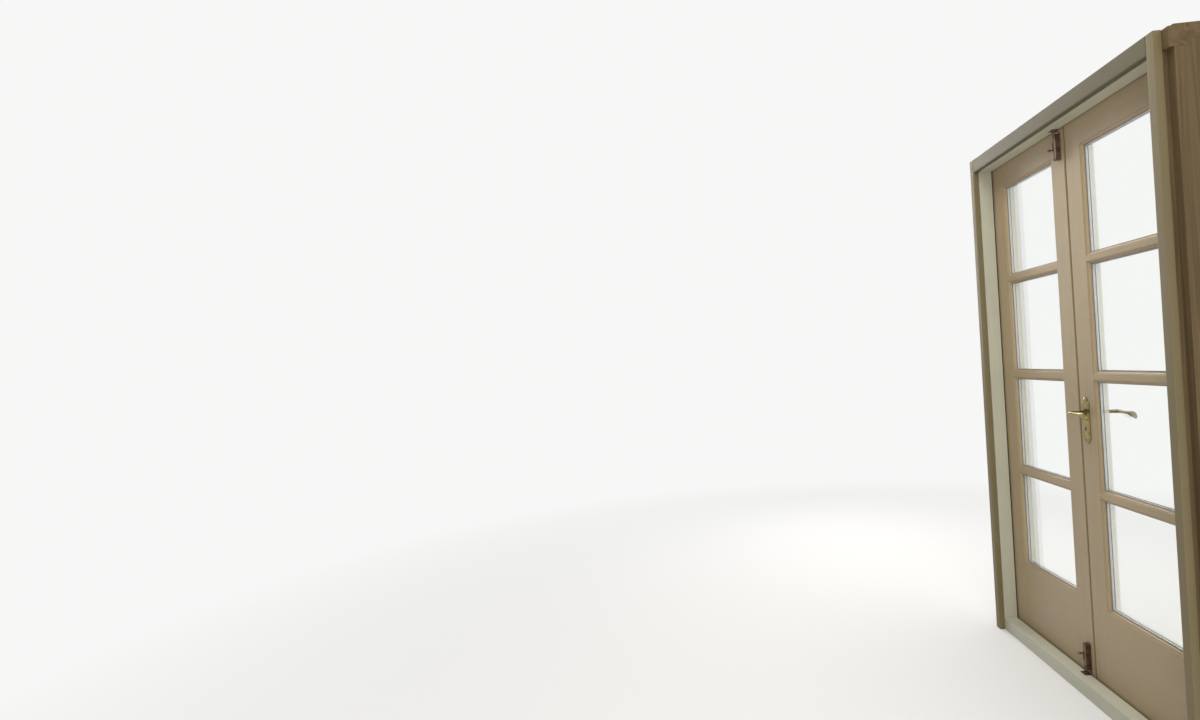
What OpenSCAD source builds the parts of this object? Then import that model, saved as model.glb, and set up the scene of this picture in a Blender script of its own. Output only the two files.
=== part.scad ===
// Pair of glazed timber doors in their frame: X runs along the wall, Y outward through it, Z up.
// Z = 0 is the underside of the cill, Y = 0 the middle of the frame and X = 0 the line where the leaves meet.

/* [Opening] */
// Clear width between the stops of the two jambs
opening_w = 1054; // [900:1:1300]
// Height of the head's underside over the underside of the cill
opening_top = 1892; // [1800:1:2100]
// Height of the cill's inner step
cill_top = 48; // [44:1:60]

/* [Frame] */
// Depth of the frame through the wall
frame_d = 100; // [95:1:120]
// How far the leaves' outer face lies inside the frame's
leaf_set = 3; // [0:1:8]
// Step from the stop's face to the rebate
rebate_w = 16; // [15:1:20]
// Width of a jamb or head over its stop
jamb_w = 57; // [50:1:75]
// Depth of the step behind the face that takes the wall boards
board_t = 12; // [8:1:16]
// Fall of the cill from its step to its nose
cill_fall = 8; // [4:1:12]
// How far the cill's nose stands out from the frame
cill_nose = 45; // [30:1:70]
// Thickness of the cill's nose
nose_h = 18; // [12:1:20]

/* [Architraves] */
// Thickness of the architraves
arch_t = 20; // [12:1:24]
// Width of the architrave over the head
arch_head_w = 52; // [40:1:55]
// Width of the architraves beside the jambs
arch_leg_w = 30; // [25:1:50]
// Distance from the frame's edge to the architrave
arch_back = 3; // [1:1:6]
// Radius of the architrave's rounded inner edge
arch_r = 4; // [3:1:8]

/* [Leaves] */
// Thickness of a leaf
leaf_t = 44; // [42:1:54]
// Gap between a leaf and the frame's rebate
gap = 6; // [5:1:8]
// Gap between a leaf's face and the stop
stop_gap = 5; // [5:1:7]
// Gap between the two leaves at their outer faces
meeting_gap = 6; // [6:1:10]
// How far the meeting edges are planed back at the inner face
edge_bevel = 2.5; // [2.5:0.5:4]
// Width of a hinge stile with its moulding
hinge_stile_w = 102; // [90:1:120]
// Width of a meeting stile with its moulding
meeting_stile_w = 92; // [85:1:120]
// Height of the top rail with its moulding
top_rail_h = 105; // [90:1:130]
// Height of the bottom rail with its moulding
bottom_rail_h = 270; // [180:1:320]
// Width of a glazing bar with its two mouldings
bar_w = 39; // [34:1:50]
// Number of panes up a leaf
panes = 4; // [3:1:5]

/* [Mouldings] */
// Width of the moulding beside the glass
mould_w = 10; // [9:1:12]
// Radius of the moulding's round
mould_r = 7; // [6:1:7]
// Sunk step between the flat face and the round
quirk = 3; // [2:0.5:3]
// Depth of the wood in front of the glass
lip_d = 11; // [10.5:0.5:12]
// Cover of the glass by the rebate
cover = 12; // [10:1:14]

/* [Glazing] */
// Thickness of one sheet of glass
glass_t = 4; // [3:1:4]
// Gap between the two sheets
glass_gap = 6; // [6:1:14]
// Gap between the glass edge and the wood
glass_clear = 3; // [2:1:4]
// How much narrower a bead is at the leaf's outer face than at the glass
bead_slope = 5; // [2:0.5:7]

/* [Hinges] */
// Height of a hinge
hinge_h = 100; // [76:1:125]
// Width of a hinge plate in the wood
hinge_w = 32; // [25:1:38]
// Thickness of a hinge plate
hinge_t = 2.5; // [2:0.5:3]
// Outer radius of the knuckles
knuckle_r = 6; // [5.5:0.5:7]
// Radius of the hinge pin
pin_r = 3; // [2.5:0.5:3.5]
// Radial running clearance of the pin
pin_clear = 0.06; // [0.05:0.01:0.1]
// Gap between two knuckles
knuckle_gap = 0.4; // [0.3:0.1:1]
// Distance from the leaf's top and bottom edge to the hinge beside it
hinge_inset = 160; // [120:1:250]

/* [Handle] */
// Height of the spindle over the underside of the cill
spindle_z = 934; // [850:1:1050]
// Distance from the meeting line to the spindle
spindle_x = 36; // [34:1:45]
// Height of a handle plate
plate_h = 152; // [140:1:170]
// Width of a handle plate
plate_w = 40; // [36:1:48]
// Thickness of a handle plate
plate_t = 5; // [4:0.5:6]
// Thickness of a handle plate at its rim
plate_rim = 2; // [1.5:0.5:3]
// Width of the slope from the rim to the raised field
plate_slope = 6; // [4:0.5:8]
// Distance from the plate's top to the spindle
plate_top = 50; // [45:1:65]
// Distance from the spindle to the keyhole
key_drop = 52; // [48:1:60]
// How far the lever stands out from the leaf's face
lever_out = 54; // [48:1:60]
// Length of the lever from the spindle to its tip
lever_len = 100; // [90:1:115]
// Radius of the round collar that the lever turns in
collar_r = 12; // [11:0.5:14]
// Radius of the lever's neck
neck_r = 7; // [6:0.5:8]
// Side of the square spindle
spindle_w = 8; // [7:1:8]

/* [Lock] */
// Height of the lock's faceplate
lock_face_h = 200; // [160:1:240]
// Height of the lock's case
lock_case_h = 120; // [100:1:140]
// Depth of the lock's case behind its faceplate
lock_case_w = 54; // [45:1:60]
// Thickness of the lock's case
lock_case_t = 16; // [14:1:18]
// Width of the faceplate and strike plate
face_w = 22; // [18:1:24]
// Thickness of the faceplate and strike plate
face_t = 2.5; // [2:0.5:3]
// Height of the strike plate
strike_h = 120; // [100:1:160]

/* [Bolts] */
// Distance from the meeting line to a bolt
bolt_x = 30; // [26:1:34]
// Radius of a bolt's rod
rod_r = 4; // [3:0.5:5]
// Clearance round a rod
rod_clear = 0.3; // [0.2:0.1:0.5]
// Distance from the leaf's inner face to the middle of the rod
rod_out = 13; // [12:0.5:15]
// Height of a bolt's back plate
bolt_plate_h = 93; // [85:1:110]
// Width of a bolt's back plate
bolt_plate_w = 20; // [19:1:26]
// Thickness of a bolt's back plate
bolt_plate_t = 2.5; // [2:0.5:3]
// Outer radius of a bolt's barrel
barrel_r = 6.5; // [6:0.5:7.5]
// Distance from the drawn rod's end to its knob
knob_drop = 57; // [52:1:60]
// How far the knob's middle stands out from the middle of the rod
knob_out = 19; // [16:1:24]
// Width of a keep
keep_w = 26; // [24:1:36]
// Depth of a keep
keep_d = 20; // [18:1:26]
// Thickness of a keep
keep_t = 2.5; // [2:0.5:3]
// Height of the collar on a keep
keep_collar_h = 4; // [3:0.5:6]
// How far the rod passes the frame's face when it is thrown
rod_bite = 9; // [6:0.5:12]
// Gap between a drawn rod and its keep
rod_gap = 5; // [5:0.5:6]

/* [Hidden] */
$fn = 48;

reveal_x = opening_w / 2;
frame_x = reveal_x + jamb_w;
inner_y = -frame_d / 2;
outer_y = frame_d / 2;
rebate_x = reveal_x + rebate_w;
rebate_top = opening_top + rebate_w;
rebate_bottom = cill_top - rebate_w;

leaf_back_y = outer_y - leaf_set;
leaf_y = leaf_back_y - leaf_t;
stop_y = leaf_y - stop_gap;
edge_x = rebate_x - gap;
leaf_top = rebate_top - gap;
leaf_bottom = rebate_bottom + gap;
meet_x = meeting_gap / 2;
meet_in_x = meet_x + edge_bevel;
leaf_h = leaf_top - leaf_bottom;

sight_out_x = edge_x - hinge_stile_w;
sight_in_x = meet_x + meeting_stile_w;
sight_w = sight_out_x - sight_in_x;
sight_mid_x = (sight_out_x + sight_in_x) / 2;
pane_h = (leaf_h - top_rail_h - bottom_rail_h - (panes - 1) * bar_w) / panes;
pitch = pane_h + bar_w;
first_pane_z = leaf_bottom + bottom_rail_h;

glass_y = leaf_y + lip_d;
unit_t = 2 * glass_t + glass_gap;
bead_y = glass_y + unit_t;
glass_w = sight_w + 2 * (cover - glass_clear);
glass_h = pane_h + 2 * (cover - glass_clear);

axis_x = edge_x + gap / 2;
axis_y = outer_y + knuckle_r;
knuckle_h = hinge_h / 5;
leaf_plate_w = hinge_w - leaf_set;
hinge_zs = [leaf_bottom + hinge_inset,
            (leaf_bottom + leaf_top - hinge_h) / 2,
            leaf_top - hinge_inset - hinge_h];

plate_shoulder = 6;
plate_r = plate_w / 2 - plate_shoulder;
plate_mid = plate_top - plate_h / 2;
key_r = 3.5;
key_slot_w = 3;
key_slot_h = 10;
neck_gap = 0.5;
spindle_hole_r = spindle_w * 0.85;

// The lever's middle line, standing on z = 0: neck, elbow and a grip that swells to a turned-down tail
lever_path = [[0, 0, neck_gap], [0, 0, 15], [0, 0, 24], [0, 0.5, lever_out - 13], [4, 1, lever_out - 4],
              [13, 1, lever_out], [lever_len * 0.3, 0.5, lever_out], [lever_len * 0.5, 0, lever_out - 1],
              [lever_len * 0.68, -1, lever_out - 2], [lever_len * 0.81, -3, lever_out - 3],
              [lever_len * 0.9, -8, lever_out - 3], [lever_len * 0.94, -15, lever_out - 2]];
// The lever's radius at each of those points
lever_r = [neck_r, neck_r, 5.6, 5.6, 6.4, 5.6, 4.8, 5.6, 7.6, 9, 7, 3];
lever_sides = 16;
lever_steps = 3;

face_x = meet_x + edge_bevel * 0.75;
face_mid_y = (leaf_y + leaf_back_y) / 2;
latch_room_w = 14;
latch_room_h = 22;
latch_room_d = 14;
// Shares of the faceplate, the lock's case and the strike plate that lie under the spindle
face_low = 0.6;
case_low = 0.65;
strike_low = 0.65;

rod_y = leaf_y - rod_out;
keep_y = stop_y - keep_d / 2;
keep_low = keep_t + keep_collar_h;
keep_collar_r = rod_r + 4;
keep_hole_r = rod_r + 1.5;
rod_top_z = opening_top - keep_low - rod_gap;
rod_low_z = cill_top + keep_low + rod_gap;
rod_throw = rod_gap + keep_low + rod_bite;
rod_len = bolt_plate_h - 1;
rod_hole_d = rod_bite + 3;
barrel_in = 3;
stem_r = 2.5;
knob_r = 5;

board_lap = 2;
nose_ease = 3;
nose_under = 8;
drip_r = 3;
drip_in = 10;
pin_head_h = 3;
pin_head_in = 2;

wood = "tan";
metal = "gold";

// A box between two opposite corners
module span(a, b) {
    translate(a) cube([b[0] - a[0], b[1] - a[1], b[2] - a[2]]);
}

// What the left side repeats of the right
module left() {
    mirror([1, 0, 0]) children();
}

// Extrudes a drawing made in X and Y up from one height to another
module upright(z0, z1) {
    translate([0, 0, z0]) linear_extrude(height = z1 - z0) children();
}

// Extrudes a drawing made in Y and Z along X from one place to another
module along(x0, x1) {
    translate([x0, 0, 0]) rotate([90, 0, 90]) linear_extrude(height = x1 - x0) children();
}

// The frame

// Jamb in plan: stop, rebate and the step that takes the wall boards
module jamb_plan() {
    board_x = reveal_x + arch_back + arch_leg_w - board_lap;
    difference() {
        translate([reveal_x, inner_y]) square([jamb_w, frame_d]);
        translate([reveal_x - 1, stop_y]) square([rebate_w + 1, frame_d]);
        translate([board_x, inner_y - 1]) square([jamb_w, board_t + 1]);
    }
}

// Head in section: stop, rebate and the step that takes the wall boards
module head_section() {
    board_z = opening_top + arch_back + arch_head_w - board_lap;
    difference() {
        translate([inner_y, opening_top]) square([frame_d, jamb_w]);
        translate([stop_y, opening_top - 1]) square([frame_d, rebate_w + 1]);
        translate([inner_y - 1, board_z]) square([board_t + 1, jamb_w]);
    }
}

module cill_section() {
    nose_y = outer_y + cill_nose;
    nose_z = rebate_bottom - cill_fall;
    difference() {
        polygon([[inner_y, 0], [outer_y, 0], [outer_y + nose_under, nose_z - nose_h],
                 [nose_y, nose_z - nose_h], [nose_y, nose_z - nose_ease], [nose_y - nose_ease, nose_z],
                 [stop_y, rebate_bottom], [stop_y, cill_top], [inner_y, cill_top]]);
        translate([nose_y - drip_in, nose_z - nose_h]) circle(r = drip_r);
    }
}

// Room for a hinge's frame plates in the jamb
module frame_hinge_slots() {
    for (z = hinge_zs)
        span([rebate_x - 1, outer_y - hinge_w, z], [rebate_x + hinge_t, outer_y + 1, z + hinge_h]);
}

module jamb() {
    difference() {
        upright(rebate_bottom - cill_fall, rebate_top) jamb_plan();
        cill();
        head_body();
        frame_hinge_slots();
    }
}

module cill() {
    difference() {
        along(-frame_x, frame_x) cill_section();
        translate([-bolt_x, rod_y, cill_top - rod_hole_d]) cylinder(h = rod_hole_d + 1, r = keep_hole_r);
    }
}

module head_body() {
    along(-frame_x, frame_x) head_section();
}

module head() {
    difference() {
        head_body();
        translate([-bolt_x, rod_y, opening_top - 1]) cylinder(h = rod_hole_d + 1, r = keep_hole_r);
    }
}

// An architrave in section, its rounded edge at the low end of its width
module architrave_section(w) {
    difference() {
        square([w, arch_t]);
        difference() {
            translate([-1, arch_t - arch_r]) square([arch_r + 1, arch_r + 1]);
            translate([arch_r, arch_t - arch_r]) circle(r = arch_r);
        }
    }
}

module leg_architrave() {
    upright(0, opening_top + arch_back + arch_head_w)
        translate([reveal_x + arch_back, inner_y]) mirror([0, 1]) architrave_section(arch_leg_w);
}

module head_architrave() {
    reach = reveal_x + arch_back;
    along(-reach, reach)
        translate([inner_y, opening_top + arch_back])
        rotate(90) architrave_section(arch_head_w);
}

// A keep with the hole that its bolt drops into, drawn as fixed under the head
module keep() {
    difference() {
        union() {
            span([-keep_w / 2, keep_y - keep_d / 2, -keep_t], [keep_w / 2, keep_y + keep_d / 2, 0]);
            translate([0, rod_y, -keep_low]) cylinder(h = keep_low, r = keep_collar_r);
        }
        translate([0, rod_y, -keep_low - 1]) cylinder(h = keep_low + 2, r = keep_hole_r);
    }
}

// The leaves

// Stile in plan, from its flat face at y = 0 to its moulded edge at x = w; the wood lies at x < w
module moulded_plan(w) {
    square([w - cover, leaf_t]);
    square([w - mould_w, lip_d]);
    intersection() {
        translate([w - mould_w, quirk + mould_r]) circle(r = mould_r);
        translate([w - mould_w - 1, quirk]) square([mould_r + 1, lip_d - quirk]);
    }
    translate([w - mould_w - 1, quirk + mould_r]) square([mould_w + 1, lip_d - quirk - mould_r]);
}

module hinge_stile_wood() {
    upright(leaf_bottom, leaf_top)
        translate([edge_x, leaf_y]) mirror([1, 0]) moulded_plan(hinge_stile_w);
}

module meeting_stile_wood() {
    difference() {
        upright(leaf_bottom, leaf_top)
            translate([meet_x, leaf_y]) moulded_plan(meeting_stile_w);
        upright(leaf_bottom - 1, leaf_top + 1)
            polygon([[meet_x - 1, leaf_y - 1], [meet_in_x, leaf_y - 1], [meet_in_x, leaf_y],
                     [meet_x, leaf_back_y], [meet_x - 1, leaf_back_y]]);
    }
}

// Fits a rail or bar between the stiles, cut over their mouldings
module between_stiles() {
    difference() {
        children();
        hinge_stile_wood();
        meeting_stile_wood();
    }
}

module rail_reach() {
    along(sight_in_x - cover, sight_out_x + cover) children();
}

module top_rail() {
    between_stiles() rail_reach()
        translate([leaf_y, leaf_top]) rotate(-90) moulded_plan(top_rail_h);
}

module bottom_rail() {
    between_stiles() rail_reach()
        translate([leaf_y, leaf_bottom]) mirror([1, 0]) rotate(90) moulded_plan(bottom_rail_h);
}

module bar_half() {
    mirror([1, 0]) rotate(90) moulded_plan(bar_w / 2);
}

module glazing_bars() {
    for (i = [1 : panes - 1])
        between_stiles() rail_reach()
            translate([leaf_y, first_pane_z + i * pitch - bar_w / 2]) {
                bar_half();
                mirror([0, 1]) bar_half();
            }
}

module hinge_stile() {
    difference() {
        hinge_stile_wood();
        for (z = hinge_zs)
            span([edge_x - hinge_t, leaf_back_y - leaf_plate_w, z],
                 [edge_x + 1, leaf_back_y + 1, z + hinge_h]);
    }
}

// Glass, spacers and beads

module each_pane() {
    for (i = [0 : panes - 1])
        translate([sight_mid_x, 0, first_pane_z + pane_h / 2 + i * pitch]) children();
}

module glass() {
    each_pane()
        for (y = [glass_y, glass_y + glass_t + glass_gap])
            translate([-glass_w / 2, y, -glass_h / 2]) cube([glass_w, glass_t, glass_h]);
}

// The spacer frame ends at the sight line
module spacers() {
    y0 = glass_y + glass_t;
    y1 = y0 + glass_gap;
    each_pane() difference() {
        span([-glass_w / 2, y0, -glass_h / 2], [glass_w / 2, y1, glass_h / 2]);
        span([-sight_w / 2, y0 - 1, -pane_h / 2], [sight_w / 2, y1 + 1, pane_h / 2]);
    }
}

// What the beads leave open across a pane of width w, in plan: it widens towards the weather
module bead_opening(w) {
    half = w / 2;
    wide = half + bead_slope;
    polygon([[-half, bead_y - 1], [half, bead_y - 1], [half, bead_y], [wide, leaf_back_y],
             [wide, leaf_back_y + 1], [-wide, leaf_back_y + 1], [-wide, leaf_back_y], [-half, bead_y]]);
}

module beads() {
    half_w = sight_w / 2 + cover;
    half_h = pane_h / 2 + cover;
    each_pane() difference() {
        span([-half_w, bead_y, -half_h], [half_w, leaf_back_y, half_h]);
        intersection() {
            upright(-half_h, half_h) bead_opening(sight_w);
            along(-half_w, half_w) mirror([1, -1]) bead_opening(pane_h);
        }
    }
}

// Hinges, drawn for the right leaf

// The knuckles that belong to one plate: the even or the odd ones
module knuckles(first) {
    for (k = [first : 2 : 4])
        translate([axis_x, axis_y, k * knuckle_h + knuckle_gap / 2])
            cylinder(h = knuckle_h - knuckle_gap, r = knuckle_r);
}

// A plate's tabs, which reach the knuckles of one plate only
module tabs(first, x0, y0) {
    for (k = [first : 2 : 4])
        span([x0, y0, k * knuckle_h + knuckle_gap / 2],
             [x0 + hinge_t, axis_y, (k + 1) * knuckle_h - knuckle_gap / 2]);
}

module pin_bore() {
    translate([axis_x, axis_y, -1]) cylinder(h = hinge_h + 2, r = pin_r + pin_clear);
}

module frame_hinges() {
    for (z = hinge_zs)
        translate([0, 0, z])
            difference() {
                union() {
                    span([rebate_x, outer_y - hinge_w, 0], [rebate_x + hinge_t, outer_y, hinge_h]);
                    tabs(0, rebate_x, outer_y - 1);
                    knuckles(0);
                }
                pin_bore();
            }
}

module leaf_hinges() {
    for (z = hinge_zs)
        translate([0, 0, z])
            difference() {
                union() {
                    span([edge_x - hinge_t, leaf_back_y - leaf_plate_w, 0], [edge_x, leaf_back_y, hinge_h]);
                    tabs(1, edge_x - hinge_t, leaf_back_y - 1);
                    knuckles(1);
                }
                pin_bore();
            }
}

module pin_head() {
    cylinder(h = pin_head_h, r1 = knuckle_r, r2 = knuckle_r - pin_head_in);
}

module hinge_pins() {
    for (z = hinge_zs)
        translate([axis_x, axis_y, z]) {
            cylinder(h = hinge_h, r = pin_r);
            translate([0, 0, hinge_h]) pin_head();
            mirror([0, 0, 1]) pin_head();
        }
}

// Lock and handle

// The plate's outline with its arched ends, round the spindle
module plate_outline() {
    square_h = plate_h - 2 * plate_r;
    translate([0, plate_mid]) {
        square([plate_w, square_h], center = true);
        for (s = [-1, 1])
            translate([0, s * square_h / 2]) circle(r = plate_r);
    }
}

module keyhole() {
    translate([0, -key_drop]) {
        circle(r = key_r);
        translate([-key_slot_w / 2, -key_slot_h]) square([key_slot_w, key_slot_h]);
    }
}

// What stands on the rim: it slopes in on every side up to the flat field
module plate_field() {
    narrower = [1 - 2 * plate_slope / plate_w, 1 - 2 * plate_slope / plate_h];
    translate([0, plate_mid, plate_rim])
        linear_extrude(height = plate_t - plate_rim, scale = narrower)
        translate([0, -plate_mid]) plate_outline();
}

// A handle plate seen from the front: back at z = 0, with its raised field and the lever's collar
module handle_plate() {
    difference() {
        union() {
            linear_extrude(height = plate_rim) plate_outline();
            plate_field();
            cylinder(h = plate_t + 5, r = collar_r);
        }
        translate([0, 0, -1]) cylinder(h = plate_t + 8, r = neck_r + rod_clear);
        translate([0, 0, -1]) linear_extrude(height = plate_t + 2) keyhole();
    }
}

// A smooth curve through four neighbours, from the second to the third
function smooth(p0, p1, p2, p3, t) =
    0.5 * (2 * p1 + (p2 - p0) * t
           + (2 * p0 - 5 * p1 + 4 * p2 - p3) * t * t
           + (3 * p1 - p0 - 3 * p2 + p3) * t * t * t);

function pick(list, i) = list[min(max(i, 0), len(list) - 1)];

function curve(list) = [for (i = [0 : len(list) - 2], k = [0 : lever_steps - 1])
                        smooth(pick(list, i - 1), list[i], list[i + 1], pick(list, i + 2), k / lever_steps),
                        list[len(list) - 1]];

function unit(v) = v / norm(v);

// One ring of the lever's skin, square to its middle line
function skin_ring(line, radii, i) =
    let (ahead = unit(pick(line, i + 1) - pick(line, i - 1)),
         side = unit(cross(ahead, [0, 1, 0])),
         up = cross(side, ahead))
    [for (k = [0 : lever_sides - 1])
        line[i] + radii[i] * (cos(360 * k / lever_sides) * side + sin(360 * k / lever_sides) * up)];

module lever_form() {
    line = curve(lever_path);
    radii = curve(lever_r);
    n = len(line);
    m = lever_sides;
    rings = [for (i = [0 : n - 1]) each skin_ring(line, radii, i)];
    tip = line[n - 1] + unit(line[n - 1] - line[n - 2]) * radii[n - 1] * 0.6;
    walls = [for (i = [0 : n - 2], k = [0 : m - 1])
             [i * m + k, i * m + (k + 1) % m, (i + 1) * m + (k + 1) % m, (i + 1) * m + k]];
    cap = [for (k = [0 : m - 1]) [(n - 1) * m + k, (n - 1) * m + (k + 1) % m, n * m]];
    base = [[for (k = [0 : m - 1]) m - 1 - k]];
    polyhedron(points = concat(rings, [tip]), faces = concat(base, walls, cap));
}

// Places what is drawn round the spindle on the room side or on the outside
module room_side() {
    translate([spindle_x, leaf_y, spindle_z]) rotate([90, 0, 0]) children();
}

module garden_side() {
    translate([spindle_x, leaf_back_y, spindle_z]) mirror([0, 1, 0]) rotate([90, 0, 0]) children();
}

module spindle() {
    span([spindle_x - spindle_w / 2, leaf_y - neck_gap, spindle_z - spindle_w / 2],
         [spindle_x + spindle_w / 2, leaf_back_y + neck_gap, spindle_z + spindle_w / 2]);
}

// The edge plates lie in the bevelled edge of the stile, x0 being the face nearest the other leaf
module edge_plate(h, z0) {
    span([face_x, face_mid_y - face_w / 2, z0], [face_x + face_t, face_mid_y + face_w / 2, z0 + h]);
}

// The lock's case, from x0 to its back
module lock_case(x0) {
    low_z = spindle_z - lock_case_h * case_low;
    span([x0, face_mid_y - lock_case_t / 2, low_z],
         [face_x + face_t + lock_case_w, face_mid_y + lock_case_t / 2, low_z + lock_case_h]);
}

module spindle_hole() {
    translate([spindle_x, leaf_y - 1, spindle_z])
        rotate([-90, 0, 0]) cylinder(h = leaf_t + 2, r = spindle_hole_r);
}

module lock_room() {
    span([meet_x - 1, face_mid_y - face_w / 2, spindle_z - lock_face_h * face_low],
         [face_x + face_t, face_mid_y + face_w / 2, spindle_z + lock_face_h * (1 - face_low)]);
    lock_case(face_x);
}

module mortice_lock() {
    difference() {
        union() {
            edge_plate(lock_face_h, spindle_z - lock_face_h * face_low);
            lock_case(face_x + face_t / 2);
        }
        spindle_hole();
    }
}

module right_meeting_stile() {
    difference() {
        meeting_stile_wood();
        lock_room();
        spindle_hole();
    }
}

module strike_room() {
    span([meet_x - 1, face_mid_y - face_w / 2, spindle_z - strike_h * strike_low],
         [face_x + face_t, face_mid_y + face_w / 2, spindle_z + strike_h * (1 - strike_low)]);
    strike_holes();
}

module strike_holes() {
    for (z = [spindle_z, spindle_z - key_drop])
        span([meet_x - 1, face_mid_y - latch_room_w / 2, z - latch_room_h / 2],
             [face_x + face_t + latch_room_d, face_mid_y + latch_room_w / 2, z + latch_room_h / 2]);
}

module left_meeting_stile() {
    left() difference() {
        meeting_stile_wood();
        strike_room();
    }
}

module strike_plate() {
    left() difference() {
        edge_plate(strike_h, spindle_z - strike_h * strike_low);
        strike_holes();
    }
}

// Bolts, drawn round the rod's middle line with the rod's end at z = 0

// Back plate and barrel; the barrel is open in front along the knob's way
module bolt_plate() {
    slot_w = 2 * (stem_r + rod_clear);
    difference() {
        union() {
            span([-bolt_plate_w / 2, rod_out - bolt_plate_t, -bolt_plate_h], [bolt_plate_w / 2, rod_out, 0]);
            upright(barrel_in - bolt_plate_h, -barrel_in) {
                circle(r = barrel_r);
                translate([-barrel_r, 0]) square([2 * barrel_r, rod_out - bolt_plate_t]);
            }
        }
        translate([0, 0, -bolt_plate_h - 1]) cylinder(h = bolt_plate_h + 2, r = rod_r + rod_clear);
        span([-slot_w / 2, -barrel_r - 1, -knob_drop - slot_w / 2],
             [slot_w / 2, 0, rod_throw - knob_drop + slot_w / 2]);
    }
}

module bolt_rod() {
    translate([0, 0, -rod_len]) cylinder(h = rod_len, r = rod_r);
    translate([0, 0, -knob_drop]) rotate([90, 0, 0]) {
        cylinder(h = knob_out, r = stem_r);
        translate([0, 0, knob_out]) sphere(r = knob_r);
    }
}

module at_head_keep() {
    translate([-bolt_x, 0, opening_top]) children();
}

module at_cill_keep() {
    translate([-bolt_x, 0, cill_top]) mirror([0, 0, 1]) children();
}

module at_top_bolt() {
    translate([-bolt_x, rod_y, rod_top_z]) children();
}

module at_bottom_bolt() {
    translate([-bolt_x, rod_y, rod_low_z]) mirror([0, 0, 1]) children();
}

color(wood) head();
color(wood) left() jamb();  // left_jamb
color(wood) jamb();  // right_jamb
color(wood) cill();
color("olive") head_architrave();
color("olive") left() leg_architrave();  // left_architrave
color("olive") leg_architrave();  // right_architrave
color(metal) left() frame_hinges();  // left_frame_hinges
color(metal) frame_hinges();  // right_frame_hinges
color("gray") left() hinge_pins();  // left_hinge_pins
color("gray") hinge_pins();  // right_hinge_pins
color(metal) at_head_keep() keep();  // head_keep
color(metal) at_cill_keep() keep();  // cill_keep
color(wood) left() hinge_stile();  // left_hinge_stile
color(wood) left_meeting_stile();
color("wheat") left() top_rail();  // left_top_rail
color("wheat") left() bottom_rail();  // left_bottom_rail
color("wheat") left() glazing_bars();  // left_glazing_bars
color("lightblue", 0.4) left() glass();  // left_glass
color("gray") left() spacers();  // left_spacers
color("linen") left() beads();  // left_beads
color(metal) left() leaf_hinges();  // left_leaf_hinges
color(metal) strike_plate();
color(metal) at_top_bolt() bolt_plate();  // top_bolt_plate
color(metal) at_bottom_bolt() bolt_plate();  // bottom_bolt_plate
color(metal) at_bottom_bolt() bolt_rod();  // bottom_bolt_rod
color(wood) hinge_stile();  // right_hinge_stile
color(wood) right_meeting_stile();
color("wheat") top_rail();  // right_top_rail
color("wheat") bottom_rail();  // right_bottom_rail
color("wheat") glazing_bars();  // right_glazing_bars
color("lightblue", 0.4) glass();  // right_glass
color("gray") spacers();  // right_spacers
color("linen") beads();  // right_beads
color(metal) leaf_hinges();  // right_leaf_hinges
color("silver") mortice_lock();
color(metal) room_side() handle_plate();  // inside_plate
color(metal) garden_side() handle_plate();  // outside_plate
color(metal) room_side() lever_form();  // inside_lever
color(metal) garden_side() lever_form();  // outside_lever
color("silver") spindle();
color(metal) at_top_bolt() bolt_rod();  // top_bolt_rod
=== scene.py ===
import math

import bmesh
import bpy
from mathutils import Matrix, Vector


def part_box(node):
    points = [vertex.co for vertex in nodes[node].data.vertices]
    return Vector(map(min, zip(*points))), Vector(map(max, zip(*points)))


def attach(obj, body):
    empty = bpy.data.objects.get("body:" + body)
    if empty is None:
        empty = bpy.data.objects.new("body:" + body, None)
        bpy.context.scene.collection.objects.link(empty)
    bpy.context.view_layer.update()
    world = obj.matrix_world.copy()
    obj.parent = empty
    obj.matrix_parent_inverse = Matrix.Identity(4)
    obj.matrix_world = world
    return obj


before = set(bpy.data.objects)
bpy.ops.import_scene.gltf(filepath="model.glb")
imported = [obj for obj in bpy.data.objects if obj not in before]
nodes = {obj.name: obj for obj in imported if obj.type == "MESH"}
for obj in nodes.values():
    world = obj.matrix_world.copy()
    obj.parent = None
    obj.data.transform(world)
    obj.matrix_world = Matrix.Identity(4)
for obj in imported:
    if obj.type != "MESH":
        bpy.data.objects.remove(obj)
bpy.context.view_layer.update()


# Materials

def linear(r, g, b):
    """A colour as seen on screen, 0 to 255, turned into the linear values that shaders take."""
    return tuple(c / 3294.6 if c <= 10 else ((c / 255 + 0.055) / 1.055) ** 2.4 for c in (r, g, b))


def shade(colour, k):
    """A colour made darker or lighter."""
    return tuple(min(1.0, c * k) for c in colour)


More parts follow.
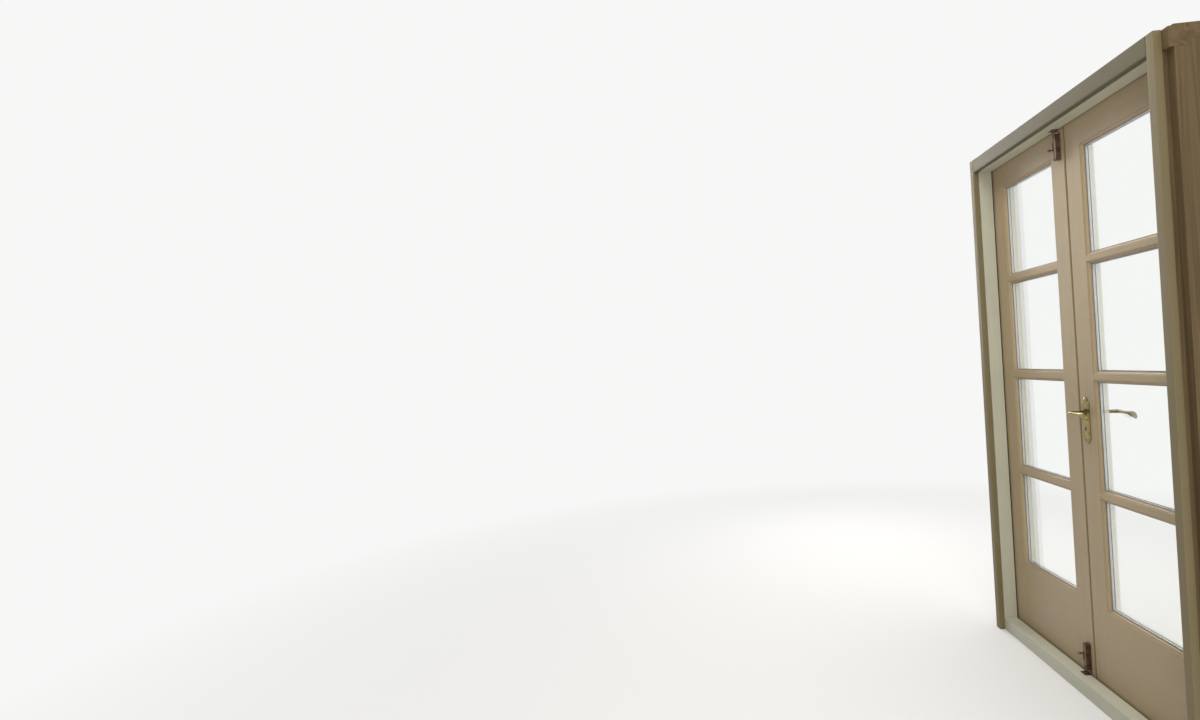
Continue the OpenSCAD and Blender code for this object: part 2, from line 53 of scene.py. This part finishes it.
class Tree:
    """A node tree, with short calls for the nodes used here."""

    def __init__(self, tree):
        self.tree = tree

    def node(self, kind, inputs=(), **settings):
        made = self.tree.nodes.new(kind)
        for key, value in settings.items():
            setattr(made, key, value)
        for key, value in dict(inputs).items():
            self.feed(made.inputs[key], value)
        return made

    def feed(self, socket, value):
        if isinstance(value, bpy.types.NodeSocket):
            self.tree.links.new(value, socket)
        elif isinstance(value, tuple) and socket.type == "RGBA":
            socket.default_value = (*value, 1.0)
        else:
            socket.default_value = value

    def noise(self, where, scale, detail=3.0, rough=0.5, distortion=0.0):
        return self.node("ShaderNodeTexNoise", {
            "Vector": where, "Scale": scale, "Detail": detail, "Roughness": rough,
            "Distortion": distortion}).outputs["Fac"]

    def remap(self, value, low, high, to_low=0.0, to_high=1.0):
        return self.node("ShaderNodeMapRange", {
            "Value": value, "From Min": low, "From Max": high, "To Min": to_low,
            "To Max": to_high}).outputs["Result"]

    def math(self, operation, a, b=0.0):
        return self.node("ShaderNodeMath", {0: a, 1: b}, operation=operation).outputs["Value"]

    def mix(self, factor, a, b):
        return self.node("ShaderNodeMix", {0: factor, 6: a, 7: b}, data_type="RGBA").outputs[2]

    def tint(self, colour, k):
        """A colour times a number that varies over the surface."""
        return self.node("ShaderNodeVectorMath", {0: colour, "Scale": k}, operation="SCALE").outputs[0]

    def bump(self, height, strength, distance, normal=None):
        inputs = {"Height": height, "Strength": strength, "Distance": distance}
        if normal is not None:
            inputs["Normal"] = normal
        return self.node("ShaderNodeBump", inputs).outputs["Normal"]


class Finish(Tree):
    """A new material and its tree. Its place is a point's place in the shared frame."""

    def __init__(self, name):
        self.material = bpy.data.materials.new(name)
        self.material.use_nodes = True
        super().__init__(self.material.node_tree)
        self.shader = self.tree.nodes["Principled BSDF"]
        self.output = self.tree.nodes["Material Output"]
        self.place = self.node("ShaderNodeTexCoord").outputs["Object"]

    def set(self, **values):
        for key, value in values.items():
            self.feed(self.shader.inputs[key.replace("_", " ")], value)

    def stretched(self, *scale):
        """The place with its axes scaled, for patterns that run along one of them."""
        return self.node("ShaderNodeMapping", {"Vector": self.place, "Scale": scale}).outputs["Vector"]

    def near(self, spot, inner, outer):
        """1 at a spot, fading to 0 between two distances from it."""
        away = self.node("ShaderNodeVectorMath", {0: self.place, 1: spot}, operation="DISTANCE")
        return self.remap(away.outputs["Value"], inner, outer, 1.0, 0.0)


def paint(name, base, grain, rough=0.36, handled=None, bare=None, outside=None):
    """Brushed paint on joinery, along x or z.

    The wood is bare beyond a half width or a height up to a depth, where the wall covers it.
    The outside colour starts at a depth.
    """
    t = Finish(name)
    along = (0.035, 1, 1) if grain == "x" else (1, 1, 0.035)
    brush = t.noise(t.stretched(*along), 620, 3, 0.55)
    wood = t.noise(t.stretched(*along), 95, 5, 0.6, 0.6)
    cloud = t.noise(t.place, 3.2, 3, 0.6)
    skin = t.noise(t.place, 340, 2)
    xyz = t.node("ShaderNodeSeparateXYZ", {0: t.place}).outputs
    coat = base
    if outside:
        coat = t.mix(t.math("GREATER_THAN", xyz["Y"], outside[0]), base, outside[1])
    colour = t.tint(coat, t.remap(cloud, 0.3, 0.7, 0.95, 1.04))
    colour = t.tint(colour, t.remap(wood, 0.42, 0.62, 1.0, 0.96))
    colour = t.tint(colour, t.remap(brush, 0.45, 0.75, 1.0, 1.03))
    if handled:
        spots = t.remap(t.noise(t.place, 26, 4, 0.6), 0.35, 0.65, 0.0, 0.3)
        colour = t.mix(t.math("MULTIPLY", spots, t.near(handled, 0.05, 0.17)), colour, shade(base, 0.7))
    dust = t.math("MULTIPLY", t.remap(xyz["Z"], 0.03, 0.3, 0.3, 0.0), t.remap(cloud, 0.35, 0.65))
    colour = t.mix(dust, colour, shade(base, 0.66))
    gloss = t.remap(brush, 0.2, 0.8, rough - 0.07, rough + 0.1)
    if bare:
        beside = t.math("GREATER_THAN", t.math("ABSOLUTE", xyz["X"]), bare[0])
        outer = t.math("MAXIMUM", beside, t.math("GREATER_THAN", xyz["Z"], bare[1]))
        outer = t.math("MULTIPLY", outer, t.math("LESS_THAN", xyz["Y"], bare[2]))
        rings = t.noise(t.stretched(*along), 38, 6, 0.55, 1.6)
        grown = t.mix(t.remap(rings, 0.4, 0.6), BARE_WOOD, shade(BARE_WOOD, 0.62))
        colour = t.mix(outer, colour, t.mix(t.remap(wood, 0.4, 0.6, 0.0, 0.5), grown, shade(BARE_WOOD, 0.8)))
        gloss = t.math("MAXIMUM", gloss, t.math("MULTIPLY", outer, 0.8))
    normal = t.bump(wood, 0.35, 0.00035)
    normal = t.bump(brush, 0.3, 0.00016, normal)
    normal = t.bump(skin, 0.12, 0.0001, normal)
    t.set(Base_Color=colour, Roughness=gloss, Specular_IOR_Level=0.3, Normal=normal)
    return t.material


def metal(name, base, dull, rough, spread):
    """Polished or aged metal: tarnish that comes and goes, small flecks and fine rubbed lines."""
    t = Finish(name)
    tarnish = t.noise(t.place, 55, 4, 0.62)
    fleck = t.noise(t.place, 420, 3, 0.6)
    lines = t.noise(t.stretched(1, 1, 0.12), 1500, 2)
    colour = t.mix(t.remap(tarnish, 0.42, 0.66), base, dull)
    colour = t.mix(t.remap(fleck, 0.58, 0.72, 0.0, 0.35), colour, shade(dull, 0.75))
    t.set(Base_Color=colour, Metallic=1.0, Roughness=t.remap(tarnish, 0.3, 0.7, rough, rough + spread),
          Normal=t.bump(lines, 0.08, 0.00005, t.bump(fleck, 0.08, 0.00008)))
    return t.material


def spacer_bar(name, base, middle_y):
    """Pale aluminium with the row of small slots that spacers have along their middle, drawn dark as painted
    shade in the holes.
    """
    t = Finish(name)
    xyz = t.node("ShaderNodeSeparateXYZ", {0: t.place}).outputs
    run = t.math("FRACT", t.math("MULTIPLY", t.math("ADD", xyz["X"], xyz["Z"]), 300.0))
    in_slot = t.math("LESS_THAN", run, 0.45)
    in_line = t.math("LESS_THAN", t.math("ABSOLUTE", t.math("SUBTRACT", xyz["Y"], middle_y)), 0.0003)
    slot = t.math("MULTIPLY", in_slot, in_line)
    dull = t.noise(t.place, 120, 3, 0.6)
    # The slots get a dark colour: painted shade in holes that are only dented by the bump.
    t.set(Base_Color=t.mix(slot, t.mix(dull, base, shade(base, 0.88)), shade(base, 0.2)), Metallic=0.7,
          Roughness=t.remap(dull, 0.3, 0.7, 0.42, 0.55), Normal=t.bump(slot, 0.5, -0.0002))
    return t.material


def clear_glass(name):
    """Glass that lets light through to what is behind it without a lamp having to find a way."""
    t = Finish(name)
    waves = t.noise(t.stretched(1, 1, 0.5), 3.5, 2)
    t.set(Base_Color=(0.988, 0.997, 0.992), Roughness=0.0, IOR=1.5, Transmission_Weight=1.0,
          Normal=t.bump(waves, 0.04, 0.0004))
    clear = t.node("ShaderNodeBsdfTransparent", {"Color": (0.95, 0.97, 0.96)})
    shadow = t.node("ShaderNodeLightPath").outputs["Is Shadow Ray"]
    both = t.node("ShaderNodeMixShader", {0: shadow, 1: t.shader.outputs[0], 2: clear.outputs[0]})
    t.feed(t.output.inputs["Surface"], both.outputs[0])
    return t.material


def rubber(name, base, rough=0.7):
    """Matt rubber or sealant with a fine grain and a little dust."""
    t = Finish(name)
    fine = t.noise(t.place, 700, 2)
    dust = t.remap(t.noise(t.place, 30, 3, 0.6), 0.45, 0.7, 0.0, 0.5)
    t.set(Base_Color=t.mix(dust, base, shade(base, 1.7)),
          Roughness=t.remap(fine, 0.3, 0.7, rough - 0.08, rough + 0.08), Normal=t.bump(fine, 0.2, 0.0001))
    return t.material


STONE = linear(174, 155, 124)  # leaves, room side
# The next colour is partly the garden side's own cream paint and partly painted daylight: the garden faces
# and the beads are made paler for the sun that falls on them.
CREAM_AND_DAYLIGHT = linear(218, 216, 205)  # leaves, garden side, and beads
PALE = linear(194, 193, 174)  # head, jambs and cill
OLIVE = linear(122, 110, 80)  # upright architraves
# The head architrave's colour is the uprights' paint made darker: painted shade from above.
HEAD_TRIM_PAINTED_SHADE = linear(97, 91, 68)  # head architrave
BARE_WOOD = linear(108, 90, 62)  # timber that the wall covers

paint_depth = 0.0006  # the garden side's paint turns this far round the edges
board_step = 0.0025  # the bare wood starts this far behind the architraves' outer edge
spindle_spot = sum(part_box("spindle"), Vector()) / 2
spindle_spot.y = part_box("right_meeting_stile")[0].y
spacer_low, spacer_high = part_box("right_spacers")
trim_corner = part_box("right_architrave")[1]
bare_from = (trim_corner.x - board_step, trim_corner.z - board_step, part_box("head")[1].y - paint_depth)
# The garden faces take the pale colour that is partly painted daylight.
garden_face = (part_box("right_hinge_stile")[1].y - paint_depth, CREAM_AND_DAYLIGHT)

leaf_up = paint("leaf_paint_upright", STONE, "z", handled=tuple(spindle_spot), outside=garden_face)
leaf_across = paint("leaf_paint_across", STONE, "x", outside=garden_face)
# The beads take the same pale colour, partly painted daylight.
bead_paint = paint("bead_paint", CREAM_AND_DAYLIGHT, "x")
lining_up = paint("lining_paint_upright", PALE, "z", bare=bare_from)
lining_across = paint("lining_paint_across", PALE, "x", bare=bare_from)
trim_up = paint("architrave_paint_upright", OLIVE, "z", 0.5)
trim_across = paint("architrave_paint_across_painted_shade", HEAD_TRIM_PAINTED_SHADE, "x", 0.5)
# The polished brass is far darker than brass is: painted reflection of a dark room.
brass = metal("polished_brass_painted_dark_reflection", (0.3, 0.24, 0.1), (0.19, 0.15, 0.062), 0.1, 0.14)
# The bolts' and keeps' brass is darker partly for tarnish and partly as painted shade.
aged_brass_and_shade = metal("aged_brass_and_painted_shade", (0.21, 0.15, 0.105), (0.12, 0.08, 0.06), 0.34, 0.2)
steel = metal("lock_steel", (0.58, 0.57, 0.55), (0.42, 0.41, 0.39), 0.3, 0.15)
spacer = spacer_bar("spacer_metal", (0.84, 0.85, 0.86), (spacer_low.y + spacer_high.y) / 2)
pane_glass = clear_glass("clear_glass")
black_rubber = rubber("seal_rubber", (0.035, 0.034, 0.032))
tape = rubber("glazing_tape", (0.2, 0.19, 0.175), 0.6)
sealant = rubber("glazing_sealant", (0.16, 0.16, 0.165), 0.5)

SIDES = ("left", "right")
FINISH = {
    lining_across: ["head", "cill"],
    lining_up: [s + "_jamb" for s in SIDES],
    trim_across: ["head_architrave"],
    trim_up: [s + "_architrave" for s in SIDES],
    leaf_up: [s + n for s in SIDES for n in ("_hinge_stile", "_meeting_stile")],
    leaf_across: [s + n for s in SIDES for n in ("_top_rail", "_bottom_rail", "_glazing_bars")],
    bead_paint: [s + "_beads" for s in SIDES],
    pane_glass: [s + "_glass" for s in SIDES],
    spacer: [s + "_spacers" for s in SIDES],
    brass: ["inside_plate", "outside_plate", "inside_lever", "outside_lever", "strike_plate"]
    + [s + n for s in SIDES for n in ("_frame_hinges", "_leaf_hinges", "_hinge_pins")],
    aged_brass_and_shade: ["top_bolt_plate", "top_bolt_rod", "bottom_bolt_plate", "bottom_bolt_rod",
                "head_keep", "cill_keep"],
    steel: ["mortice_lock", "spindle"],
}

# Edges of timber and flat plates are eased. The plates with slopes and curves keep their shape.
TIMBER = (lining_across, lining_up, trim_across, trim_up, leaf_up, leaf_across, bead_paint)
PLATES = ("strike_plate", "mortice_lock")
SLOPED = ("inside_plate", "outside_plate", "top_bolt_plate", "bottom_bolt_plate")
TIMBER_EASE, PLATE_EASE = 0.0005, 0.0003
SLOPE_LIMIT, EDGE_LIMIT = 20, 38


def dress(node, material):
    """Gives a CAD node its material, welds its split faces, eases sharp edges and shades curves smooth."""
    node.data.materials.clear()
    node.data.materials.append(material)
    if node.data.has_custom_normals:
        with bpy.context.temp_override(object=node, active_object=node, selected_objects=[node]):
            bpy.ops.mesh.customdata_custom_splitnormals_clear()
    node.data.polygons.foreach_set("use_smooth", [True] * len(node.data.polygons))
    node.modifiers.new("weld", "WELD").merge_threshold = 0.00002
    ease = TIMBER_EASE if material in TIMBER else PLATE_EASE if node.name in PLATES else 0
    limit = math.radians(SLOPE_LIMIT if node.name in PLATES + SLOPED else EDGE_LIMIT)
    if ease:
        flat = node.modifiers.new("flat", "DECIMATE")
        flat.decimate_type = "DISSOLVE"
        flat.angle_limit = math.radians(0.5)
        bevel = node.modifiers.new("ease", "BEVEL")
        bevel.width = ease
        bevel.segments = 2
        bevel.limit_method = "ANGLE"
        bevel.angle_limit = limit
        bevel.harden_normals = True
        bevel.use_clamp_overlap = False
        bevel.miter_outer = "MITER_ARC"
    else:
        node.modifiers.new("edges", "EDGE_SPLIT").split_angle = limit


for material, names in FINISH.items():
    for name in names:
        dress(nodes[name], material)


# Shared calls for the added pieces

def piece(name, mesh, material, body, crease=40):
    """Turns a bmesh into a piece that rides on a body, smooth except at edges sharper than the crease."""
    data = bpy.data.meshes.new(name)
    bmesh.ops.recalc_face_normals(mesh, faces=mesh.faces)
    for face in mesh.faces:
        face.smooth = True
    for edge in mesh.edges:
        if len(edge.link_faces) == 2 and edge.calc_face_angle(0) > math.radians(crease):
            edge.smooth = False
    mesh.to_mesh(data)
    mesh.free()
    data.materials.append(material)
    made = bpy.data.objects.new(name, data)
    bpy.context.scene.collection.objects.link(made)
    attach(made, body)


def loop_faces(mesh, a, b):
    """Joins two rings of points with faces."""
    for k in range(len(a)):
        n = (k + 1) % len(a)
        mesh.faces.new((a[k], a[n], b[n], b[k]))


def ring(mesh, x0, x1, z0, z1, profile):
    """A mitred rectangle in the wall's plane. Its profile's points are (distance outward, y)."""
    corners = [(x0, z0, -1, -1), (x1, z0, 1, -1), (x1, z1, 1, 1), (x0, z1, -1, 1)]
    rows = [[mesh.verts.new((x + sx * u, y, z + sz * u)) for u, y in profile] for x, z, sx, sz in corners]
    for k in range(4):
        loop_faces(mesh, rows[k], rows[(k + 1) % 4])


def prism(mesh, outline, z0, z1):
    """An outline in plan, (x, y), drawn up from z0 to z1."""
    low = [mesh.verts.new((x, y, z0)) for x, y in outline]
    high = [mesh.verts.new((x, y, z1)) for x, y in outline]
    loop_faces(mesh, low, high)
    mesh.faces.new(low[::-1])
    mesh.faces.new(high)


def arc(x, y, r, start, end, steps):
    """Points along an arc in plan, from one angle to another in degrees."""
    turns = [math.radians(start + (end - start) * k / steps) for k in range(steps + 1)]
    return [(x + r * math.cos(a), y + r * math.sin(a)) for a in turns]


# Seals, tape and sealant

leaf_low, leaf_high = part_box("right_hinge_stile")
reveal_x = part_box("right_jamb")[0].x
stop_gap = 0.005
stop_y = leaf_low.y - stop_gap
seal_x = (reveal_x + leaf_high.x) / 2
seal_z0 = (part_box("cill")[1].z + leaf_low.z) / 2
seal_z1 = (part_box("head")[0].z + leaf_high.z) / 2


def frame_seal():
    """A soft bulb on a foot, round the stop that the closed leaves come to."""
    half, foot, neck, bulb = 0.004, 0.001, 0.0014, 0.0023
    mesh = bmesh.new()
    profile = [(-half, stop_y), (-half, stop_y + foot)]
    profile += arc(0, stop_y + foot + neck, bulb, 200, -20, 12)
    profile += [(half, stop_y + foot), (half, stop_y)]
    ring(mesh, -seal_x, seal_x, seal_z0, seal_z1, profile)
    piece("frame_seal", mesh, black_rubber, "frame")


def meeting_seal():
    """A flipper in the left leaf's meeting edge, near its outer face."""
    low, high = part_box("left_meeting_stile")
    inset, clear = 0.0075, 0.001
    x, y = high.x, high.y - inset
    half = [(-0.0002, -0.003), (0.001, -0.003), (0.0012, -0.0012), (0.0052, -0.0006)]
    outline = half + [(u, -v) for u, v in half[::-1]]
    mesh = bmesh.new()
    prism(mesh, [(x + u, y + v) for u, v in outline], low.z + clear, high.z - clear)
    piece("meeting_seal", mesh, black_rubber, "left_leaf")


def panes(side):
    """The clear openings of a leaf: x0, x1, z0, z1 of each pane at the sight line."""
    stiles = [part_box(side + n) for n in ("_meeting_stile", "_hinge_stile")]
    (_, a), (b, _) = sorted(stiles, key=lambda box: box[0].x)
    z0, z1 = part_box(side + "_bottom_rail")[1].z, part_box(side + "_top_rail")[0].z
    bars_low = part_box(side + "_glazing_bars")[0].z
    height = bars_low - z0
    count = 4
    pitch = (z1 - z0 - height) / (count - 1)
    return [(a.x, b.x, z0 + k * pitch, z0 + k * pitch + height) for k in range(count)]


def glazing_lines(side):
    """Tape before the glass and sealant behind it, round every pane."""
    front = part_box(side + "_glass")[0].y
    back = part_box(side + "_beads")[0].y
    before, behind = bmesh.new(), bmesh.new()
    for x0, x1, z0, z1 in panes(side):
        ring(before, x0, x1, z0, z1, [(0.0006, front), (-0.0009, front), (-0.0006, front - 0.0008),
                                      (0.0006, front - 0.001)])
        ring(behind, x0, x1, z0, z1, [(0.0006, back), (-0.0018, back), (-0.001, back + 0.0014),
                                      (0.0006, back + 0.0026)])
    piece(side + "_glazing_tape", before, tape, side + "_leaf")
    piece(side + "_glazing_sealant", behind, sealant, side + "_leaf")


# Screws

def screw_head():
    """A domed head of radius 1 with a slot, standing on z = 0."""
    dome = [(0.35, 0.27), (0.62, 0.2), (0.84, 0.1), (0.96, 0.03), (1.0, -0.02), (0.96, -0.25)]
    sides = 28
    mesh = bmesh.new()
    top = mesh.verts.new((0, 0, 0.3))
    rows = [[mesh.verts.new((x, y, z)) for x, y in arc(0, 0, r, 0, 360 - 360 / sides, sides - 1)]
            for r, z in dome]
    for k in range(sides):
        mesh.faces.new((top, rows[0][k], rows[0][(k + 1) % sides]))
    for a, b in zip(rows, rows[1:]):
        loop_faces(mesh, a, b)
    mesh.faces.new(rows[-1][::-1])
    head = bpy.data.meshes.new("screw_head")
    mesh.to_mesh(head)
    mesh.free()
    mesh = bmesh.new()
    prism(mesh, [(-1.2, -0.11), (1.2, -0.11), (1.2, 0.11), (-1.2, 0.11)], 0.11, 0.5)
    cutter = bpy.data.meshes.new("screw_slot")
    mesh.to_mesh(cutter)
    mesh.free()
    whole, slot = [bpy.data.objects.new(data.name, data) for data in (head, cutter)]
    for made in (whole, slot):
        bpy.context.scene.collection.objects.link(made)
    cut = whole.modifiers.new("slot", "BOOLEAN")
    cut.operation = "DIFFERENCE"
    cut.object = slot
    cut.solver = "EXACT"
    bpy.context.view_layer.update()
    done = bpy.data.meshes.new_from_object(whole.evaluated_get(bpy.context.evaluated_depsgraph_get()))
    for made in (whole, slot):
        bpy.data.objects.remove(made)
    return done


SCREW = screw_head()


def screws(name, places, normal, radius, material, body, turn=0):
    """Screw heads at these places, facing along the normal, each slot at an angle of its own."""
    mesh = bmesh.new()
    facing = Vector(normal).to_track_quat("Z", "Y").to_matrix().to_4x4()
    for k, place in enumerate(places):
        spin = Matrix.Rotation(math.radians(turn + 47 * k * k + 23 * k), 4, "Z")
        count = len(mesh.verts)
        mesh.from_mesh(SCREW)
        mesh.verts.ensure_lookup_table()
        bmesh.ops.transform(mesh, verts=mesh.verts[count:],
                            matrix=Matrix.Translation(place) @ facing @ spin @ Matrix.Scale(radius, 4))
    piece(name, mesh, material, body, 30)


def handle_screws():
    """One near each end of both handle plates."""
    thick, from_end, radius = 0.0052, 0.0125, 0.0034
    for side, back, out, turn in (("inside", 1, -1, 10), ("outside", 0, 1, 60)):
        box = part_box(side + "_plate")
        x, y = (box[0].x + box[1].x) / 2, box[back].y + out * thick
        screws(side + "_plate_screws", [(x, y, box[1].z - from_end), (x, y, box[0].z + from_end)],
               (0, out, 0), radius, brass, "right_leaf", turn)


def bolt_screws():
    """Four in each bolt's plate, beside its case, and two in each keep, beside its collar."""
    thick, from_end = 0.0025, 0.01
    beside_case, case_radius = 0.0083, 0.0016
    beside_collar, keep_radius = 0.0105, 0.0018
    for which in ("top_bolt", "bottom_bolt"):
        low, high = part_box(which + "_plate")
        x, y = (low.x + high.x) / 2, high.y - thick
        ends = (low.z + from_end, high.z - from_end)
        places = [(x + s * beside_case, y, z) for z in ends for s in (-1, 1)]
        screws(which + "_screws", places, (0, -1, 0), case_radius, aged_brass_and_shade, "left_leaf", 15)
    for which, edge, out in (("head_keep", 1, -1), ("cill_keep", 0, 1)):
        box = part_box(which)
        x, y = (box[0].x + box[1].x) / 2, (box[0].y + box[1].y) / 2
        places = [(x + s * beside_collar, y, box[edge].z + out * thick) for s in (-1, 1)]
        screws(which + "_screws", places, (0, 0, out), keep_radius, aged_brass_and_shade, "frame", 70)


def hinge_screws():
    """Four countersunk screws in each hinge plate, seen when a leaf stands open."""
    cap, height, gap, radius = 0.003, 0.1, 0.006, 0.0033
    spots = ((0.007, 0.018), (0.018, 0.04), (0.007, 0.062), (0.018, 0.084))
    for side, sign, outer in (("left", -1, 0), ("right", 1, 1)):
        pin_low, pin_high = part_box(side + "_hinge_pins")
        bottoms = (pin_low.z + cap, (pin_low.z + pin_high.z - height) / 2, pin_high.z - cap - height)
        leaf_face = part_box(side + "_hinge_stile")[outer].x
        plates = (("_frame_hinges", "frame", -1, leaf_face + sign * gap),
                  ("_leaf_hinges", side + "_leaf", 1, leaf_face))
        for part, body, face, x in plates:
            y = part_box(side + part)[0].y
            places = [(x, y + dy, z + dz) for z in bottoms for dy, dz in spots]
            screws(side + part + "_screws", places, (sign * face, 0, 0), radius, brass, body, 35)


def lock_front():
    """The latch and the dead bolt in the lock's faceplate, and the screws of both edge plates."""
    low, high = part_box("mortice_lock")
    strike_low, strike_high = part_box("strike_plate")
    x, y = low.x, (low.y + high.y) / 2
    latch_z = sum(corner.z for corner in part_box("spindle")) / 2
    key_drop, half_w, half_h, sunk = 0.052, 0.0058, 0.0095, 0.001
    radius, lock_end, strike_end = 0.0035, 0.012, 0.009
    mesh = bmesh.new()
    for z, near, far in ((latch_z, 0.0022, 0.0002), (latch_z - key_drop, 0.0006, 0.0006)):
        outline = [(x + sunk, y - half_w), (x - near, y - half_w),
                   (x - far, y + half_w), (x + sunk, y + half_w)]
        prism(mesh, outline, z - half_h, z + half_h)
    piece("lock_bolts", mesh, brass, "right_leaf")
    screws("lock_screws", [(x, y, high.z - lock_end), (x, y, low.z + lock_end)],
           (-1, 0, 0), radius, steel, "right_leaf", 20)
    x = strike_high.x
    screws("strike_screws", [(x, y, strike_high.z - strike_end), (x, y, strike_low.z + strike_end)],
           (1, 0, 0), radius, brass, "left_leaf", 80)


frame_seal()
meeting_seal()
for side in SIDES:
    glazing_lines(side)
handle_screws()
bolt_screws()
hinge_screws()
lock_front()


# Floor, background and light

WHITE = (0.93, 0.93, 0.925)
FLOOR_SEEN = (0.72, 0.718, 0.71)
FLOOR_ROOM, FLOOR_GARDEN = (0.62, 0.61, 0.59), (0.8, 0.8, 0.8)


def seen_directly(tree):
    """1 for rays that come from the camera, a mirror or glass."""
    path = tree.node("ShaderNodeLightPath").outputs
    return tree.math("MAXIMUM", path["Is Camera Ray"],
                     tree.math("MAXIMUM", path["Is Glossy Ray"], path["Is Transmission Ray"]))


def floor():
    """A pale floor that keeps the object's shadow and turns into the white background further out.

    It throws a little more light back on the garden side.
    """
    t = Finish("floor")
    away = t.node("ShaderNodeVectorMath", {0: t.place}, operation="LENGTH").outputs["Value"]
    outward = t.node("ShaderNodeSeparateXYZ", {0: t.place}).outputs["Y"]
    ground = t.mix(t.remap(outward, -0.8, 0.0), FLOOR_ROOM, FLOOR_GARDEN)
    t.set(Base_Color=t.mix(seen_directly(t), ground, FLOOR_SEEN), Roughness=0.85)
    white = t.node("ShaderNodeEmission", {"Color": WHITE})
    share = t.math("MULTIPLY", seen_directly(t), t.remap(away, 0.8, 4.0, 0.1, 1.0))
    both = t.node("ShaderNodeMixShader", {0: share, 1: t.shader.outputs[0], 2: white.outputs[0]})
    t.feed(t.output.inputs["Surface"], both.outputs[0])
    mesh = bmesh.new()
    radius, below = 40, 0.0005
    bmesh.ops.create_circle(mesh, cap_ends=True, segments=96, radius=radius)
    data = bpy.data.meshes.new("floor")
    mesh.to_mesh(data)
    mesh.free()
    data.materials.append(t.material)
    made = bpy.data.objects.new("floor", data)
    made.location.z = -below
    bpy.context.scene.collection.objects.link(made)


def background(room, garden):
    """Soft light from all round, brighter from the garden's side. It shows white itself."""
    world = bpy.data.worlds.new("studio")
    bpy.context.scene.world = world
    world.use_nodes = True
    t = Tree(world.node_tree)
    light = t.tree.nodes["Background"]
    t.feed(light.inputs["Color"], (1.0, 0.985, 0.96))
    toward = t.node("ShaderNodeSeparateXYZ", {0: t.node("ShaderNodeTexCoord").outputs["Generated"]})
    t.feed(light.inputs["Strength"], t.remap(toward.outputs["Y"], -0.45, -0.1, room, garden))
    white = t.node("ShaderNodeBackground", {"Color": WHITE})
    both = t.node("ShaderNodeMixShader", {0: seen_directly(t), 1: light.outputs[0], 2: white.outputs[0]})
    t.feed(t.tree.nodes["World Output"].inputs["Surface"], both.outputs[0])


def lamp(name, place, aim, size, watts, colour, mirrored=True):
    """A soft rectangular lamp. Panes and metal mirror it unless told not to."""
    data = bpy.data.lights.new(name, "AREA")
    data.shape = "RECTANGLE"
    data.size, data.size_y = size
    data.energy = watts
    data.color = colour
    made = bpy.data.objects.new(name, data)
    made.location = place
    made.visible_glossy = made.visible_transmission = mirrored
    made.rotation_euler = (Vector(aim) - Vector(place)).to_track_quat("-Z", "Y").to_euler()
    bpy.context.scene.collection.objects.link(made)


floor()
background(0.1, 1.05)
lamp("top", (0.2, -0.9, 3.4), (0, 0, 1.2), (2.0, 0.8), 34, (1.0, 0.98, 0.95), False)
lamp("left", (-2.6, -0.35, 2.3), (0, 0, 1.3), (0.8, 2.6), 44, (1.0, 0.99, 0.97))
lamp("right", (3.2, -1.0, 1.8), (0, 0, 1.2), (1.0, 2.2), 36, (1.0, 0.98, 0.94))
lamp("garden", (1.6, 3.0, 2.6), (0, 0, 1.0), (2.6, 2.4), 10, (0.95, 0.98, 1.0), False)


# Camera: where the photograph was taken from, found from the lines of the doors

def camera(place, yaw, pitch, roll, focal_px, image_px=1200, sensor=36):
    """Looks along -X, turned by yaw about Z, raised by pitch and rolled, all in degrees."""
    yaw, pitch, roll = [math.radians(a) for a in (yaw, pitch, roll)]
    ahead = Vector((-math.cos(yaw) * math.cos(pitch), -math.sin(yaw) * math.cos(pitch), math.sin(pitch)))
    level = Vector((-math.sin(yaw), math.cos(yaw), 0))
    above = level.cross(ahead)
    right = math.cos(roll) * level + math.sin(roll) * above
    up = -math.sin(roll) * level + math.cos(roll) * above
    data = bpy.data.cameras.new("camera")
    data.sensor_width = sensor
    data.lens = focal_px / image_px * sensor
    data.clip_start, data.clip_end = 0.02, 200
    made = bpy.data.objects.new("camera", data)
    made.matrix_world = Matrix.Translation(place) @ Matrix((right, up, -ahead)).transposed().to_4x4()
    bpy.context.scene.collection.objects.link(made)
    bpy.context.scene.camera = made


camera((2.4198, -1.2733, 1.1629), yaw=7.842, pitch=0.693, roll=-2.969, focal_px=663.65)
bpy.context.scene.view_settings.view_transform = "Standard"

bpy.context.view_layer.update()
